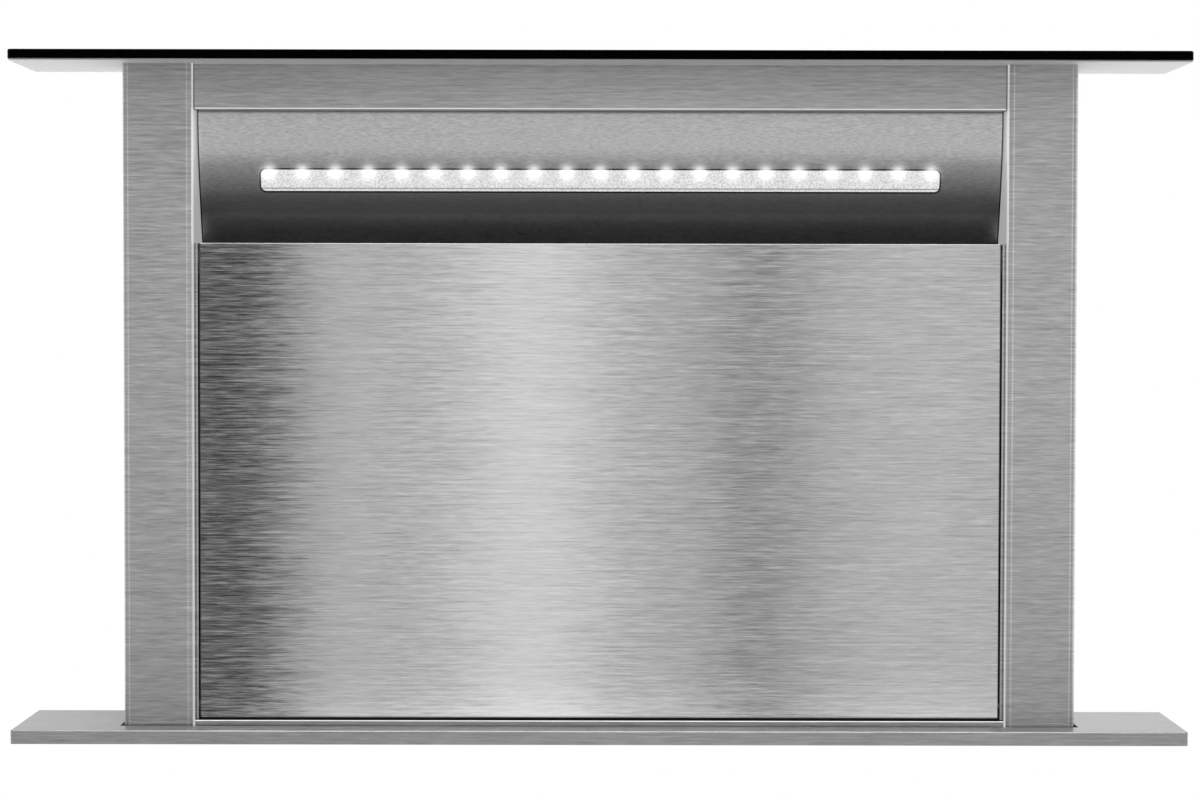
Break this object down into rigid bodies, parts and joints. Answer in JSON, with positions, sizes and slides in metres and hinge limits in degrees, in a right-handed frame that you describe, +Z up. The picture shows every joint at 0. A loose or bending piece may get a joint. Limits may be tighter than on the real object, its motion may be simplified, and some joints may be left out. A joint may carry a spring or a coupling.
{
  "type": "downdraft vent",
  "caption": "Rising downdraft vent: a glass-capped tower with lit intake lifts from a worktop flange on lead screws; blower, damper and duct collar hang below.",
  "frame": {"origin": "centre of the worktop flange, in the plane of the worktop's surface that the flange rests on", "axes": "+Z up, -Y towards the cook, +X to the cook's right"},
  "size_m": [0.762, 0.2242, 1.14],
  "materials": {
    "stainless": "brushed satin",
    "stainless_panel": "brushed satin",
    "trim_steel": "brushed satin",
    "black_glass": "black gloss",
    "pale_plate": "satin",
    "lens": "frosted",
    "light": "bright",
    "galvanized": "galvanized",
    "machine_steel": "turned",
    "bronze": "turned",
    "black_plastic": "moulded",
    "grey_plastic": "moulded",
    "white_plastic": "moulded",
    "rubber": "matt",
    "foam": "matt",
    "aluminium": "satin",
    "aluminium_mesh": "expanded mesh",
    "board": "circuit board",
    "magnet": "nickel",
    "motor_black": "satin"
  },
  "bodies": {
    "housing": {"trim_flange": "trim_steel", "slot_seal": "rubber", "trim_gasket": "foam", "housing_front": "galvanized", "housing_back": "galvanized", "housing_sides": "galvanized", "housing_floor": "galvanized", "guide_rails": "aluminium", "screw_bearings": "aluminium", "position_sensors": "black_plastic", "drive_belt": "rubber", "drive_cover": "galvanized", "lift_motor": "motor_black", "scroll_back": "galvanized", "scroll_wrap": "galvanized", "scroll_front": "galvanized", "inlet_ring": "black_plastic", "blower_motor": "motor_black", "duct_collar": "galvanized", "damper_pin": "machine_steel", "control_box": "galvanized", "control_cover": "galvanized", "control_board": "board", "cable_gland": "black_plastic", "mounting_brackets": "galvanized"},
    "tower": {"glass_top": "black_glass", "cap_plate": "pale_plate", "cap_blocks": "black_plastic", "top_rail": "stainless", "bottom_rail": "stainless", "tower_back": "stainless", "air_baffle": "stainless", "light_lens": "lens", "light_channel": "aluminium", "light_board": "light", "filter_sill": "stainless", "filter_frames": "aluminium", "filter_meshes": "aluminium_mesh", "hinge_pins": "machine_steel", "catch_plates": "galvanized", "nut_brackets": "galvanized", "lead_nuts": "bronze", "guide_shoes": "white_plastic", "sensor_magnet": "magnet", "column_left": "stainless", "column_right": "stainless"},
    "front_panel": {"panel_skin": "stainless_panel", "panel_liner": "galvanized", "panel_magnets": "magnet"},
    "screw_left": {"lead_screw_left": "machine_steel", "belt_pulley_left": "aluminium"},
    "screw_right": {"lead_screw_right": "machine_steel", "belt_pulley_right": "aluminium"},
    "wheel": {"blower_wheel": "grey_plastic", "wheel_shaft": "machine_steel"},
    "flap_left": {"damper_flap_left": "galvanized"},
    "flap_right": {"damper_flap_right": "galvanized"},
    "latch_left": {"filter_latch_left": "grey_plastic"},
    "latch_right": {"filter_latch_right": "grey_plastic"}
  },
  "joints": [
    {"name": "tower_lift", "type": "slide", "parent": "housing", "child": "tower", "axis": [0, 0, 1], "range_m": [-0.43, 0]},
    {"name": "panel_hinge", "type": "hinge", "parent": "tower", "child": "front_panel", "pos_m": [0, -0.017, 0.022], "axis": [1, 0, 0], "range_deg": [0, 80]},
    {"name": "screw_left_spin", "type": "hinge", "parent": "housing", "child": "screw_left", "pos_m": [-0.288, 0.003, -0.3], "axis": [0, 0, 1], "range_deg": [-10, 15500]},
    {"name": "screw_right_spin", "type": "hinge", "parent": "housing", "child": "screw_right", "pos_m": [0.288, 0.003, -0.3], "axis": [0, 0, 1], "range_deg": [-10, 15500]},
    {"name": "wheel_spin", "type": "hinge", "parent": "housing", "child": "wheel", "pos_m": [0, -0.07, -0.395], "axis": [0, 1, 0], "continuous": true},
    {"name": "flap_left_swing", "type": "hinge", "parent": "housing", "child": "flap_left", "pos_m": [0.0893, -0.105, -0.614], "axis": [0, -1, 0], "range_deg": [0, 80], "stiffness_Nm_per_rad": 0.02, "springref_deg": -20.05},
    {"name": "flap_right_swing", "type": "hinge", "parent": "housing", "child": "flap_right", "pos_m": [0.0893, -0.105, -0.614], "axis": [0, 1, 0], "range_deg": [0, 80], "stiffness_Nm_per_rad": 0.02, "springref_deg": -20.05},
    {"name": "latch_left_slide", "type": "slide", "parent": "tower", "child": "latch_left", "axis": [0, 0.0628, 0.998], "range_m": [-0.0045, 0], "stiffness_N_per_m": 400, "springref_m": 0.002},
    {"name": "latch_right_slide", "type": "slide", "parent": "tower", "child": "latch_right", "axis": [0, 0.0628, 0.998], "range_m": [-0.0045, 0], "stiffness_N_per_m": 400, "springref_m": 0.002}
  ],
  "couplings": [
    {"joint": "screw_left_spin", "follows": "tower_lift", "rad_per_m": -628.32},
    {"joint": "screw_right_spin", "follows": "tower_lift", "rad_per_m": -628.32}
  ]
}
